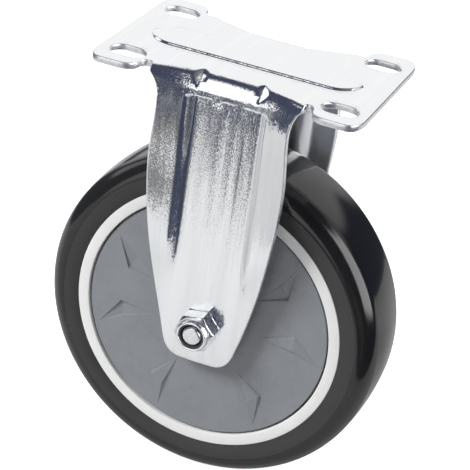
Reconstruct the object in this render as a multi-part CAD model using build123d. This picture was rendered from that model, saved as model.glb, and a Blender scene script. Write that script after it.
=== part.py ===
from build123d import *
import math
import os

# Fixed castor: one folded sheet makes the plate and both legs, and holds a 125 mm wheel on two ball bearings.
# Millimetres. The origin is the centre of the plate's top face, +Z up, +X along the plate, the axle along Y.
# The front is towards -Y, where the nut is.

# Wheel and axle
WHEEL_D = 125.0
WHEEL_W = 32.0
AXLE_DROP = 95.0
AXLE_D = 7.9

# Sheet and plate
SHEET = 2.5
PLATE_L = 95.0
PLATE_W = 67.0
PLATE_CORNER_R = 8.0
LOBE_INNER_X = 29.5
LOBE_INNER_R = 2.5
NECK_Y = 26.0
NECK_R = 3.0
BOLT_SPACING_X = 75.0
BOLT_SPACING_Y = 45.0
SLOT_L = 12.6
SLOT_W = 8.5
SLOT_RIM = 0.5
BEAD_L = 77.0
BEAD_W = 20.0
BEAD_H = 0.9
STRIP_HALF = 9.0

# Bend between the plate and a leg: it bows outwards and tightens towards the leg's edges
BEND_R = 6.5
BEND_EDGE_R = 3.6
BEND_OUT = 24.5
BEND_BOW = 4.4
BOW_X = 27.0
DART_X = 10.5
DART_START = 18.8
DART_REACH = 6.0
DART_SEAT = 0.8

# Leg: flat pad round the axle, recessed panel, side flanges that lean outwards
LEG_OUT = 21.2
LEG_BOTTOM = 14.5
LEG_BOTTOM_R = 8.5
LEG_HALF_AT_AXLE = 15.5
LEG_HALF_MAX = 24.4
LEG_WIDEST = 62.0
LEG_SIDE_POWER = 1.75
LEG_FLARE_POWER = 2.5
LEG_TOP_PINCH = 1.1
LEG_TOP_FLARE = 4.0
LEG_TOP_FLARE_START = 82.0
LEG_TOP_FLARE_LENGTH = 11.0
LEG_BLOCK_X = 27.0
PANEL_HALF = 11.4
PANEL_BEVEL = 4.0
PANEL_DEPTH = 2.9
PANEL_FADE_LOW = 21.0
PANEL_FADE_HIGH = 39.0
CREASE_DROP = 7.5
CREASE_LENGTH = 3.0
FLANGE_OUT = 6.0
FLANGE_START = 12.0
FLANGE_RISE_POWER = 0.85
FLANGE_LEAN_POWER = 1.5
AXLE_HOLE_R = 4.1

# Where the folded sheet is worked out: shares across the panel and flange, steps along the leg, and the rolled ball
PANEL_SHARES = (0.5, 0.85)
FLANGE_SHARES = (0.15, 0.4, 0.7, 1.0)
BEVEL_STEPS = 4
CREASE_STEPS = 3
LEG_STEPS = 8
SIDE_STEPS = 14
BALL_SHARES = (0.25, 0.5, 0.7, 0.85, 0.95)
BALL_STEPS = 12
TINY = 0.1

# Tyre: its depth is from the tread to the core, its side's drop from the tread to the side's outer edge
TYRE_DEPTH = 12.7
TYRE_SIDE_DROP = 7.1
TYRE_RECESS = 0.3
TYRE_SHOULDER_R = 6.6
TYRE_CROWN = 0.45
KEY_H = 2.0
KEY_HALF = 5.0

# Wheel core
RIM_T = 4.05
LEDGE_W = 2.25
WEB_HALF = 2.0
HUB_R = 14.0
HUB_BORE_R = 7.5
RIB_COUNT = 8
RIB_T = 2.4
RIB_DROP = 0.6
RIB_ROOT = 0.5
WEB_FILLET = 1.5

# Covers, each with a ring of shallow spikes; radii are shares of the cover's, angles are from a spike's tip
COVER_GAP = 0.75
COVER_T = 2.0
COVER_RECESS = 1.0
COVER_HOLE_CLEARANCE = 0.3
SPIKE_COUNT = 7
SPIKE_FIRST = -6.5
SPIKE_TIP = 0.955
SPIKE_SHOULDER = 0.74
SPIKE_ROOT = 0.46
SPIKE_WIDE = 14.0
SPIKE_NARROW = 3.0
SPIKE_ROOT_TURN = 6.0
SPIKE_H = 0.7
SPIKE_CREST = 0.12
SPIKES = ((1, 1), (-1, -1), (1, 1), (1, -1), (-1, -1), (-1, 1), (1, 1))

# Ball bearing, the common 8 x 22 x 7 size
BEARING_BORE_R = 4.0
BEARING_R = 11.0
BEARING_W = 7.0
BEARING_RECESS = 1.0
BALL_R = 1.985
BALL_COUNT = 7
PITCH_R = 7.5
GROOVE_CLEARANCE = 0.08
INNER_LAND_R = 6.05
OUTER_LAND_R = 8.85
SHIELD_SEAT_R = 9.6
SHIELD_SEAT_H = 2.95
SHIELD_T = 0.35
SHIELD_INNER_R = 6.4
CAGE_INNER_R = 6.55
CAGE_OUTER_R = 8.4
CAGE_BACK = 2.4
CAGE_FRONT = 1.0
POCKET_CLEARANCE = 0.065
PRESS_GAP = 0.02

# Bushes
BUSH_R = 6.0
BUSH_BORE_R = 4.1

# Bolt and lock nut, M8
HEX_AF = 13.0
HEX_CHAMFER = 0.15
HEAD_H = 5.3
BOLT_CHAMFER = 0.9
BOLT_TIP_SHORT = 0.2
NUT_H = 8.0
NUT_HEX_H = 5.6
NUT_COLLAR_R = 6.1
NUT_COLLAR_CORNER = 1.6
NUT_BORE_R = 4.0
NUT_ANGLE = 10.0
INSERT_R = 5.2
INSERT_BORE_R = 4.0
INSERT_LIP = 0.6
INSERT_LIP_R = 4.7
INSERT_H = 2.2

# Worked out from the sizes above
WHEEL_R = WHEEL_D / 2
HALF_W = WHEEL_W / 2
TYRE_FACE = HALF_W - TYRE_RECESS
TYRE_BOND_R = WHEEL_R - TYRE_DEPTH
TYRE_SIDE_TOP_R = WHEEL_R - TYRE_SIDE_DROP
RIM_INNER_R = TYRE_BOND_R - RIM_T
LEDGE_R = RIM_INNER_R - LEDGE_W
COVER_R = RIM_INNER_R - COVER_GAP
COVER_FACE = HALF_W - COVER_RECESS
LEG_IN = LEG_OUT - SHEET
BEND_END = CREASE_DROP + CREASE_LENGTH
BEARING_TOP = HALF_W - BEARING_RECESS
BEARING_MID = BEARING_TOP - BEARING_W / 2
BEARING_BOTTOM = BEARING_TOP - BEARING_W
GROOVE_R = BALL_R + GROOVE_CLEARANCE
BOLT_TIP = LEG_OUT + NUT_H - BOLT_TIP_SHORT
COVER_BOTTOM = COVER_FACE - COVER_T


def smooth(t):
    """Runs from 0 to 1 with no slope at either end."""
    t = min(max(t, 0.0), 1.0)
    return t * t * (3 - 2 * t)


def half_width(z):
    """Half the leg's width at height z above the axle."""
    if z < LEG_WIDEST:
        share = (1 - z / LEG_WIDEST) ** LEG_SIDE_POWER
        return LEG_HALF_MAX - (LEG_HALF_MAX - LEG_HALF_AT_AXLE) * share
    pinch = LEG_TOP_PINCH * smooth((z - LEG_WIDEST) / (LEG_TOP_FLARE_START - LEG_WIDEST))
    flare = max(0.0, (z - LEG_TOP_FLARE_START) / LEG_TOP_FLARE_LENGTH) ** LEG_FLARE_POWER
    return LEG_HALF_MAX - pinch + LEG_TOP_FLARE * flare


def bend_out(x):
    """Distance from the mid plane to the outer face just under the bend."""
    return BEND_OUT + BEND_BOW * (x / BOW_X) ** 2


def bend_radius(x):
    """Outer radius of the bend at x."""
    return BEND_R - (BEND_R - BEND_EDGE_R) * (x / BOW_X) ** 2


def leg_face(x, z):
    """Distance from the mid plane to the leg's outer face, z above the axle, below the bend."""
    depth = PANEL_DEPTH * smooth((z - PANEL_FADE_LOW) / (PANEL_FADE_HIGH - PANEL_FADE_LOW))
    ridge = depth * smooth((abs(x) - PANEL_HALF) / PANEL_BEVEL)
    rise = math.sin(math.pi / 2 * min(max(z / LEG_WIDEST, 0.0), 1.0)) ** FLANGE_RISE_POWER
    flange = half_width(min(z, LEG_WIDEST)) - FLANGE_START
    lean = max(0.0, (abs(x) - FLANGE_START) / flange) ** FLANGE_LEAN_POWER
    return LEG_OUT + ridge + (FLANGE_OUT * rise - depth) * lean


def outer_face(x, drop):
    """Distance from the mid plane to the sheet's outer face, drop below the plate's top."""
    below = smooth((drop - CREASE_DROP) / CREASE_LENGTH)
    return bend_out(x) + (leg_face(x, AXLE_DROP - drop) - bend_out(x)) * below


def inner_face(x, drop):
    """The inner face: a ball of the sheet's thickness rolled over the outer face leaves it behind."""
    reach = [outer_face(x, drop) - SHEET]
    for share in BALL_SHARES:
        across = SHEET * share
        inwards = SHEET * math.sqrt(1 - share * share)
        for k in range(BALL_STEPS):
            angle = 2 * math.pi * k / BALL_STEPS
            px = x + across * math.cos(angle)
            pd = max(drop + across * math.sin(angle), BEND_R)
            reach.append(outer_face(px, pd) - inwards)
    return min(reach)


def sheet_section(x):
    """The front half of the folded sheet at x, as one closed outline: plate, bend and leg."""
    radius = bend_radius(x)
    start = bend_out(x) - radius
    below = AXLE_DROP + LEG_BOTTOM + LEG_BOTTOM_R - BEND_END
    drops = [CREASE_DROP + CREASE_LENGTH * k / CREASE_STEPS for k in range(CREASE_STEPS + 1)]
    drops += [BEND_END + below * k / LEG_STEPS for k in range(1, LEG_STEPS + 1)]
    outer = [(x, -bend_out(x), -radius)] + [(x, -outer_face(x, d), -d) for d in drops]
    inner = [(x, SHEET - bend_out(x), -radius)] + [(x, -inner_face(x, d), -d) for d in drops]
    half = math.sqrt(0.5)
    outer_mid = (x, -start - radius * half, radius * half - radius)
    inner_mid = (x, -start - (radius - SHEET) * half, (radius - SHEET) * half - radius)
    edges = [
        Line((x, -STRIP_HALF, 0), (x, -start, 0)),
        ThreePointArc((x, -start, 0), outer_mid, outer[0]),
        Spline(*outer),
        Line(outer[-1], inner[-1]),
        Spline(*reversed(inner)),
        ThreePointArc(inner[0], inner_mid, (x, -start, -SHEET)),
        Line((x, -start, -SHEET), (x, -STRIP_HALF, -SHEET)),
        Line((x, -STRIP_HALF, -SHEET), (x, -STRIP_HALF, 0)),
    ]
    return Wire(edges)


def formed_sheet():
    """The front half of the sheet, through sections that lie close together at the panel's bevels."""
    bevel = [PANEL_HALF + PANEL_BEVEL * k / BEVEL_STEPS for k in range(BEVEL_STEPS + 1)]
    outside = PANEL_HALF + PANEL_BEVEL
    flange = [outside + (LEG_BLOCK_X - outside) * share for share in FLANGE_SHARES]
    side = [PANEL_HALF * share for share in PANEL_SHARES] + bevel + flange
    stations = [-x for x in reversed(side)] + [0.0] + side
    return Solid.make_loft([sheet_section(x) for x in stations], ruled=True)


def dart(x):
    """Groove and inner ridge of one dart: both run straight across the bend, from plate to leg."""
    low = (bend_out(x) - DART_START) / 2
    across = Plane(origin=(x, -DART_START - low, -low), x_dir=(1, 0, 0), z_dir=(0, -1, -1))
    cut = make_face(Polyline((0, 0), (DART_REACH, DART_REACH), (-DART_REACH, DART_REACH), close=True))
    wide = SHEET + DART_SEAT
    wall = make_face(Polyline((0, -SHEET), (wide, DART_SEAT), (-wide, DART_SEAT), close=True))
    skin = SHEET / 4
    inside = Box(4 * wide, bend_out(x) - skin, BEND_OUT, align=(Align.CENTER, Align.MAX, Align.MAX))
    ridge = extrude(across * wall, 2 * DART_REACH, both=True) & (Pos(x, 0, -skin) * inside)
    return extrude(across * cut, 2 * DART_REACH, both=True), ridge


def leg_outline():
    """The leg's outline, seen along Y, as a prism through both legs."""
    heights = [AXLE_DROP * k / SIDE_STEPS for k in range(SIDE_STEPS + 1)]
    side = [(half_width(z), z - AXLE_DROP) for z in heights]
    slope = (side[1][0] - side[0][0]) / (side[1][1] - side[0][1])
    foot = (LEG_HALF_AT_AXLE - slope * LEG_BOTTOM, -AXLE_DROP - LEG_BOTTOM)
    lid = (side[-1][0], SHEET)
    edges = [
        Spline(*side),
        Spline(*[(-x, z) for x, z in side]),
        Line(side[0], foot),
        Line(foot, (-foot[0], foot[1])),
        Line((-foot[0], foot[1]), (-side[0][0], side[0][1])),
        Line(side[-1], lid),
        Line(lid, (-lid[0], lid[1])),
        Line((-lid[0], lid[1]), (-side[-1][0], side[-1][1])),
    ]
    face = make_face(edges)
    corners = face.vertices().filter_by_position(Axis.Y, foot[1] - TINY, foot[1] + TINY)
    face = fillet(corners, LEG_BOTTOM_R)
    return extrude(Plane.XZ * face, 2 * PLATE_W, both=True)


def lobes():
    """The plate past the legs: four lobes joined in pairs by the neck."""
    length = (PLATE_L - 2 * LOBE_INNER_X) / 2
    pair = None
    for sx in (-1, 1):
        lobe = Pos(sx * (LOBE_INNER_X + length / 2), 0) * Rectangle(length, PLATE_W)
        outer = lobe.vertices().group_by(Axis.X)[-1 if sx > 0 else 0]
        lobe = fillet(outer, PLATE_CORNER_R)
        inner = lobe.vertices().group_by(Axis.X)[0 if sx > 0 else -1]
        lobe = fillet(inner, LOBE_INNER_R)
        neck_length = LOBE_INNER_X - LEG_BLOCK_X + NECK_R
        neck = Pos(sx * (LEG_BLOCK_X + neck_length / 2), 0) * Rectangle(neck_length, 2 * NECK_Y)
        half = lobe + neck
        pair = half if pair is None else pair + half
    return extrude(pair, -SHEET)


def fork_bracket():
    """Plate and legs from one sheet, with slots, darts, the raised bead and the axle holes."""
    front = formed_sheet() & leg_outline()
    for x in (-DART_X, DART_X):
        groove, ridge = dart(x)
        front = front + ridge - groove
    strip = extrude(Rectangle(2 * LEG_BLOCK_X, 2 * STRIP_HALF), -SHEET)
    sheet = strip + front + mirror(front, about=Plane.XZ) + lobes()
    bead = extrude(Plane.XY.offset(-SHEET / 2) * SlotOverall(BEAD_L, BEAD_W), SHEET / 2)
    bead += extrude(SlotOverall(BEAD_L, BEAD_W), BEAD_H, taper=45)
    hollow = extrude(Plane.XY.offset(-SHEET) * SlotOverall(BEAD_L - BEAD_H, BEAD_W - BEAD_H), BEAD_H, taper=45)
    sheet = sheet + bead - hollow
    for x in (-BOLT_SPACING_X / 2, BOLT_SPACING_X / 2):
        for y in (-BOLT_SPACING_Y / 2, BOLT_SPACING_Y / 2):
            slot = extrude(SlotOverall(SLOT_L, SLOT_W), 2 * SHEET, both=True)
            rim = extrude(SlotOverall(SLOT_L + 2 * SLOT_RIM, SLOT_W + 2 * SLOT_RIM), -2 * SLOT_RIM, taper=45)
            sheet -= Pos(x, y) * slot
            sheet -= Pos(x, y) * rim
    return sheet - on_axle(Cylinder(AXLE_HOLE_R, 4 * BEND_OUT))


def on_axle(solid):
    """Turns a piece made about Z onto the axle: its +Z side looks to the front."""
    return Pos(0, 0, -AXLE_DROP) * Rot(90, 0, 0) * solid


def turned(*points):
    """A solid of revolution about Z from the (radius, height) corners of its section."""
    return revolve(Plane.XZ * make_face(Polyline(*points, close=True)), Axis.Z)


def tube(inner_r, outer_r, low, high):
    """A plain tube about Z."""
    return turned((inner_r, low), (outer_r, low), (outer_r, high), (inner_r, high))


def tyre():
    """Moulded tyre: flat crown, round shoulders, and a groove inside that takes the core's key."""
    tread_r = WHEEL_R - TYRE_CROWN
    shoulder_h = HALF_W - TYRE_SHOULDER_R
    shoulder_r = tread_r - TYRE_SHOULDER_R
    diagonal = TYRE_SHOULDER_R * math.sqrt(0.5)
    edges = [
        Line((TYRE_BOND_R, -TYRE_FACE), (TYRE_SIDE_TOP_R, -HALF_W)),
        Line((TYRE_SIDE_TOP_R, -HALF_W), (shoulder_r, -HALF_W)),
        ThreePointArc(
            (shoulder_r, -HALF_W), (shoulder_r + diagonal, -shoulder_h - diagonal), (tread_r, -shoulder_h)
        ),
        ThreePointArc((tread_r, -shoulder_h), (WHEEL_R, 0), (tread_r, shoulder_h)),
        ThreePointArc(
            (tread_r, shoulder_h), (shoulder_r + diagonal, shoulder_h + diagonal), (shoulder_r, HALF_W)
        ),
        Line((shoulder_r, HALF_W), (TYRE_SIDE_TOP_R, HALF_W)),
        Line((TYRE_SIDE_TOP_R, HALF_W), (TYRE_BOND_R, TYRE_FACE)),
        Polyline(*key_points()),
    ]
    return revolve(Plane.XZ * make_face(edges), Axis.Z)


def key_points():
    """The joint between tyre and core, from the front face to the back face."""
    slope = KEY_H / 2
    return [
        (TYRE_BOND_R, TYRE_FACE),
        (TYRE_BOND_R, KEY_HALF + slope),
        (TYRE_BOND_R + KEY_H, KEY_HALF),
        (TYRE_BOND_R + KEY_H, -KEY_HALF),
        (TYRE_BOND_R, -KEY_HALF - slope),
        (TYRE_BOND_R, -TYRE_FACE),
    ]


def wheel_core():
    """Moulded core: hub with two bearing seats, web, ribs on both sides, rim with ledges for the covers."""
    seat_r = BEARING_R + PRESS_GAP
    half = [
        (HUB_BORE_R, BEARING_BOTTOM),
        (seat_r, BEARING_BOTTOM),
        (seat_r, HALF_W),
        (HUB_R, HALF_W),
        (HUB_R, WEB_HALF),
        (LEDGE_R, WEB_HALF),
        (LEDGE_R, COVER_BOTTOM),
        (RIM_INNER_R, COVER_BOTTOM),
        (RIM_INNER_R, TYRE_FACE),
    ]
    core = turned(*half, *key_points(), *[(r, -h) for r, h in reversed(half)])
    corners = core.edges().filter_by(GeomType.CIRCLE)
    corners = [
        e for e in corners
        if abs(abs(e.center().Z) - WEB_HALF) < TINY and (e.radius > LEDGE_R - TINY or e.radius < HUB_R + TINY)
    ]
    core = fillet(corners, WEB_FILLET)
    rib_top = COVER_BOTTOM - RIB_DROP
    length = LEDGE_R - HUB_R + 2 * RIB_ROOT
    rib = Pos(HUB_R - RIB_ROOT + length / 2, 0, 0) * Box(length, RIB_T, 2 * rib_top)
    for k in range(RIB_COUNT):
        core += Rot(0, 0, 360 / RIB_COUNT * k) * rib
    return core


def spike(k):
    """One spike of a cover: a shallow wedge that rises to a crest between its two shoulders, or sinks to it."""
    lean, rise = SPIKES[k]
    start = SPIKE_FIRST + 360 / SPIKE_COUNT * k
    tip, wide, narrow, root = (
        Vector(COVER_R * share, 0).rotate(Axis.Z, start + lean * turn)
        for share, turn in (
            (SPIKE_TIP, 0.0),
            (SPIKE_SHOULDER, SPIKE_WIDE),
            (SPIKE_SHOULDER, SPIKE_NARROW),
            (SPIKE_ROOT, SPIKE_ROOT_TURN),
        )
    )
    crest = [wide + (narrow - wide) * SPIKE_CREST, narrow + (wide - narrow) * SPIKE_CREST]
    points = [corner + Vector(0, 0, COVER_FACE) for corner in (tip, wide, narrow, root)]
    points += [corner + Vector(0, 0, COVER_FACE + rise * SPIKE_H) for corner in crest]
    return ConvexPolyhedron([tuple(point) for point in points])


def wheel_cover():
    """Disc with a ring of shallow spikes, some raised and some sunk."""
    disc = tube(HUB_R + COVER_HOLE_CLEARANCE, COVER_R, COVER_BOTTOM, COVER_FACE)
    for k, (_, rise) in enumerate(SPIKES):
        disc = disc + spike(k) if rise > 0 else disc - spike(k)
    return disc


def race_groove():
    """The ring-shaped track that the balls leave in both rings."""
    return Torus(PITCH_R, GROOVE_R)


def bearing_inner_ring():
    """Inner ring: clamped between the bushes, so it stands still."""
    half = BEARING_W / 2
    return tube(BEARING_BORE_R, INNER_LAND_R, -half, half) - race_groove()


def bearing_outer_ring():
    """Outer ring with a step at each side for a shield."""
    half = BEARING_W / 2
    ring = turned(
        (OUTER_LAND_R, -SHIELD_SEAT_H),
        (SHIELD_SEAT_R, -SHIELD_SEAT_H),
        (SHIELD_SEAT_R, -half),
        (BEARING_R, -half),
        (BEARING_R, half),
        (SHIELD_SEAT_R, half),
        (SHIELD_SEAT_R, SHIELD_SEAT_H),
        (OUTER_LAND_R, SHIELD_SEAT_H),
    )
    return ring - race_groove()


def bearing_shield():
    """Thin steel shield on the outer ring's step."""
    return tube(SHIELD_INNER_R, SHIELD_SEAT_R - PRESS_GAP, SHIELD_SEAT_H, SHIELD_SEAT_H + SHIELD_T)


def ball_place(k):
    """Where ball k sits on the pitch circle."""
    angle = 2 * math.pi * k / BALL_COUNT
    return Pos(PITCH_R * math.cos(angle), PITCH_R * math.sin(angle), 0)


def bearing_cage():
    """Crown cage: a ring closed on one side, whose claws hold the balls on the other."""
    cage = tube(CAGE_INNER_R, CAGE_OUTER_R, -CAGE_BACK, CAGE_FRONT)
    for k in range(BALL_COUNT):
        cage -= ball_place(k) * Sphere(BALL_R + POCKET_CLEARANCE)
    return cage


def hex_prism(height, chamfer_low, chamfer_high):
    """A hexagon from z = 0 to height, its corners turned off at one or both ends."""
    corner_r = HEX_AF / math.sqrt(3)
    flat_r = HEX_AF / 2 - HEX_CHAMFER
    rise = (corner_r - flat_r) * math.tan(math.radians(30))
    section = [(0, 0)]
    section += [(flat_r, 0), (corner_r, rise)] if chamfer_low else [(corner_r, 0)]
    section += [(corner_r, height - rise), (flat_r, height)] if chamfer_high else [(corner_r, height)]
    section += [(0, height)]
    return extrude(RegularPolygon(corner_r, 6), height) & turned(*section)


def axle_bolt():
    """Hex head on the back leg, plain shank through the legs, bushes and bearings."""
    r = AXLE_D / 2
    shank = turned(
        (0, -LEG_OUT - HEAD_H / 2),
        (r, -LEG_OUT - HEAD_H / 2),
        (r, BOLT_TIP - BOLT_CHAMFER),
        (r - BOLT_CHAMFER, BOLT_TIP),
        (0, BOLT_TIP),
    )
    head = Pos(0, 0, -LEG_OUT) * mirror(hex_prism(HEAD_H, False, True), about=Plane.XY)
    return shank + head


def axle_nut():
    """Lock nut: hexagon, round collar, and a lip turned in over the nylon ring."""
    collar = turned(
        (0, NUT_HEX_H / 2),
        (NUT_COLLAR_R, NUT_HEX_H / 2),
        (NUT_COLLAR_R, NUT_H - NUT_COLLAR_CORNER),
        (NUT_COLLAR_R - NUT_COLLAR_CORNER / 3, NUT_H - NUT_COLLAR_CORNER / 3),
        ((NUT_COLLAR_R + INSERT_LIP_R) / 2, NUT_H),
        (0, NUT_H),
    )
    nut = hex_prism(NUT_HEX_H, True, True) + collar
    nut -= Cylinder(NUT_BORE_R, 4 * NUT_H)
    nut -= tube(0, INSERT_R, NUT_H - INSERT_LIP - INSERT_H, NUT_H - INSERT_LIP)
    nut -= tube(0, INSERT_LIP_R, NUT_H - INSERT_LIP, 2 * NUT_H)
    return Pos(0, 0, LEG_OUT) * Rot(0, 0, NUT_ANGLE) * nut


def nut_insert():
    """Nylon ring under the nut's lip."""
    low = LEG_OUT + NUT_H - INSERT_LIP - INSERT_H
    return tube(INSERT_BORE_R, INSERT_R, low, low + INSERT_H)


def bearing_pieces(side, sign):
    """All pieces of one bearing, named for its side; sign is 1 at the front and -1 at the back."""
    place = Pos(0, 0, sign * BEARING_MID)
    shield = bearing_shield()
    inner_shield = mirror(shield, about=Plane.XY)
    cage = bearing_cage()
    pieces = {
        f"bearing_{side}_inner_ring": bearing_inner_ring(),
        f"bearing_{side}_outer_ring": bearing_outer_ring(),
        f"bearing_{side}_outside_shield": shield if sign > 0 else inner_shield,
        f"bearing_{side}_inside_shield": inner_shield if sign > 0 else shield,
        f"bearing_{side}_cage": cage if sign > 0 else mirror(cage, about=Plane.XY),
    }
    for k in range(BALL_COUNT):
        pieces[f"bearing_{side}_ball_{k + 1}"] = ball_place(k) * Sphere(BALL_R)
    return {name: place * piece for name, piece in pieces.items()}


def all_parts():
    """Every node by name, in the castor's own frame."""
    cover = wheel_cover()
    front_bush = tube(BUSH_BORE_R, BUSH_R, BEARING_TOP, LEG_IN)
    wheel_side = {
        "axle_bolt": axle_bolt(),
        "axle_nut": axle_nut(),
        "nut_insert": nut_insert(),
        "bearing_spacer_tube": tube(BUSH_BORE_R, BUSH_R, -BEARING_BOTTOM, BEARING_BOTTOM),
        "side_spacer_front": front_bush,
        "side_spacer_back": mirror(front_bush, about=Plane.XY),
        "tyre": tyre(),
        "wheel_core": wheel_core(),
        "wheel_cover_front": cover,
        "wheel_cover_back": mirror(cover, about=Plane.XY),
    }
    wheel_side.update(bearing_pieces("front", 1))
    wheel_side.update(bearing_pieces("back", -1))
    parts = {"fork_bracket": fork_bracket()}
    for name, piece in wheel_side.items():
        parts[name] = on_axle(piece)
    return parts


os.makedirs("parts", exist_ok=True)
for node, solid in all_parts().items():
    solid.label = node
    export_step(solid, f"parts/{node}.step")
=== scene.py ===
"""Looks of a fixed plate castor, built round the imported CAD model.

The frame is the CAD's: metres, the origin at the centre of the plate's flat top, +Z up, +X along
the plate and the wheel's axle along Y with the nut towards -Y. Shapes are worked out in
millimetres and scaled once, when a mesh is made.
"""

from __future__ import annotations

import logging
import math
from dataclasses import dataclass, field
from enum import Enum
from typing import Sequence

import bmesh
import bpy
import numpy as np
from mathutils import Matrix, Vector
from mathutils.geometry import delaunay_2d_cdt

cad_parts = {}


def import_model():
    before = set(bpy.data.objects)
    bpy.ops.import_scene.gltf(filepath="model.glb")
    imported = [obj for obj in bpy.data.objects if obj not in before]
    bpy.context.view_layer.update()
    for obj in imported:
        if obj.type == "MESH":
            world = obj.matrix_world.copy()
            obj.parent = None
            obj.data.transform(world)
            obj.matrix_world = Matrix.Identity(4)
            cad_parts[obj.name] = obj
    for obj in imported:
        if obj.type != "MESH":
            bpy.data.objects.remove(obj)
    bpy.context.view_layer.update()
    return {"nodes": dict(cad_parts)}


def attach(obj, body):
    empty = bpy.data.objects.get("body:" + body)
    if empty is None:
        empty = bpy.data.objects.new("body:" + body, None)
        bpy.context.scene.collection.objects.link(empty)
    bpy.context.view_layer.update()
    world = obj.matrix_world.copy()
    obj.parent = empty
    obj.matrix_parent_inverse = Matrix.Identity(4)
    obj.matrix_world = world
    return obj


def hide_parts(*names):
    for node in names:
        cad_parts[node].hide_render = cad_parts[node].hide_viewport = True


Array = np.ndarray
Colour = tuple[float, float, float]
Point = tuple[float, float]
Socket = bpy.types.NodeSocket
Triple = tuple[float, float, float]

LOG = logging.getLogger("castor")
MM = 0.001
AXLE_DROP = 95.0
FLOOR_Z = -157.5
QUARTER = math.pi / 2
SLANT = math.sqrt(0.5)
WHITE: Colour = (1.0, 1.0, 1.0)


class Side(Enum):
    """The castor's two sides along the axle."""

    FRONT = 1
    BACK = -1

    @property
    def word(self) -> str:
        """The side's name as it stands in node and piece names."""
        return self.name.lower()


class Body(Enum):
    """The CAD bodies that pieces ride on."""

    FORK = "fork"
    WHEEL = "wheel"


def opaque(colour: Colour) -> tuple[float, float, float, float]:
    """Gives a colour with its alpha, as colour sockets take it."""
    return (*colour, 1.0)


@dataclass(frozen=True)
class Texture:
    """A noise's frequency per metre, octaves, their roughness, and its squeeze along the axes."""

    scale: float
    detail: float = 3.0
    rough: float = 0.5
    squeeze: Triple = (1.0, 1.0, 1.0)


class Nodes:
    """A node tree, built node by node."""

    def __init__(self, tree: bpy.types.NodeTree) -> None:
        """Empties the tree of a material or world."""
        self.tree = tree
        tree.nodes.clear()

    def fill(self, node: bpy.types.Node, inputs: dict[str | int, object]) -> None:
        """Links or sets a node's inputs.

        Args:
            node: The node.
            inputs: Sockets to link and values to set, by an input's name or number.
        """
        for key, value in inputs.items():
            if isinstance(value, Socket):
                self.tree.links.new(value, node.inputs[key])
            else:
                node.inputs[key].default_value = value

    def add(self, kind: str, inputs: dict[str | int, object], **settings: str) -> bpy.types.Node:
        """Adds a node.

        Args:
            kind: Its type, without the leading ShaderNode.
            inputs: What its inputs get.
            settings: Its own settings.

        Returns:
            The node.
        """
        node = self.tree.nodes.new("ShaderNode" + kind)
        for name, value in settings.items():
            setattr(node, name, value)
        self.fill(node, inputs)
        return node

    def maths(self, operation: str, *values: Socket | float) -> Socket:
        """Combines values."""
        return self.add("Math", dict(enumerate(values)), operation=operation).outputs[0]

    def vector(self, operation: str, *values: Socket | Sequence[float]) -> Socket:
        """Combines vectors."""
        return self.add("VectorMath", dict(enumerate(values)), operation=operation).outputs[0]

    def mixed(self, first: Socket, second: Socket, weights: Point) -> Socket:
        """Adds two values, each times its weight."""
        parts = [self.maths("MULTIPLY", *pair) for pair in zip((first, second), weights)]
        return self.maths("ADD", *parts)

    def ranged(self, value: Socket, span: Point, onto: Point = (0.0, 1.0)) -> Socket:
        """Maps one range smoothly onto another.

        Args:
            value: The value.
            span: The range that it has.
            onto: The range that it gets.

        Returns:
            The mapped value.
        """
        inputs = {
            "Value": value, "From Min": span[0], "From Max": span[1], "To Min": onto[0],
            "To Max": onto[1],
        }
        return self.add("MapRange", inputs, interpolation_type="SMOOTHSTEP").outputs["Result"]

    def noise(self, vector: Socket, texture: Texture, output: str = "Fac") -> Socket:
        """Adds a noise texture.

        Args:
            vector: Where it is read.
            texture: Its settings.
            output: Fac for one value, Color for three.

        Returns:
            The noise, 0 to 1.
        """
        place = self.add("Mapping", {"Vector": vector, "Scale": texture.squeeze}).outputs[0]
        inputs = {
            "Vector": place, "Scale": texture.scale, "Detail": texture.detail,
            "Roughness": texture.rough,
        }
        return self.add("TexNoise", inputs).outputs[output]


class Shader(Nodes):
    """One material's node tree with its surface shader."""

    def __init__(self, name: str) -> None:
        """Starts a material.

        Args:
            name: Its name.
        """
        self.material = bpy.data.materials.new(name)
        self.material.use_nodes = True
        super().__init__(self.material.node_tree)
        self.surface = self.add("BsdfPrincipled", {})
        self.add("OutputMaterial", {"Surface": self.surface.outputs[0]})
        self.place = self.add("TexCoord", {}).outputs["Object"]

    def blend(self, share: Socket, first: Colour, second: Colour) -> Socket:
        """Mixes two colours.

        Args:
            share: 0 gives the first colour, 1 the second.
            first: The first colour.
            second: The second colour.

        Returns:
            The mixed colour.
        """
        ramp = self.add("ValToRGB", {"Fac": share})
        for stop, colour in zip(ramp.color_ramp.elements, (first, second)):
            stop.color = opaque(colour)
        return ramp.outputs["Color"]

    def relief(self, height: Socket, depth: float, strength: float) -> Socket:
        """Gives the normal of a surface raised by a height, its depth in metres."""
        inputs = {"Height": height, "Distance": depth, "Strength": strength}
        return self.add("Bump", inputs).outputs[0]

    def grains(
        self, vector: Socket, texture: Texture, spread: Socket | float, normal: Socket
    ) -> Socket:
        """Tilts a normal grain by grain.

        Args:
            vector: Where the grains are read.
            texture: Their noise.
            spread: How far apart their tilts are.
            normal: The normal that they tilt.

        Returns:
            The tilted normal.
        """
        centred = self.vector("SUBTRACT", self.noise(vector, texture, "Color"), (0.5, 0.5, 0.5))
        tilt = self.add("VectorMath", {0: centred, "Scale": spread}, operation="SCALE").outputs[0]
        return self.vector("NORMALIZE", self.vector("ADD", tilt, normal))

    def dress(self, **values: Socket | float) -> bpy.types.Material:
        """Fills the surface shader's inputs; underscores in their names stand for spaces."""
        self.fill(self.surface, {name.replace("_", " "): value for name, value in values.items()})
        return self.material


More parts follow.
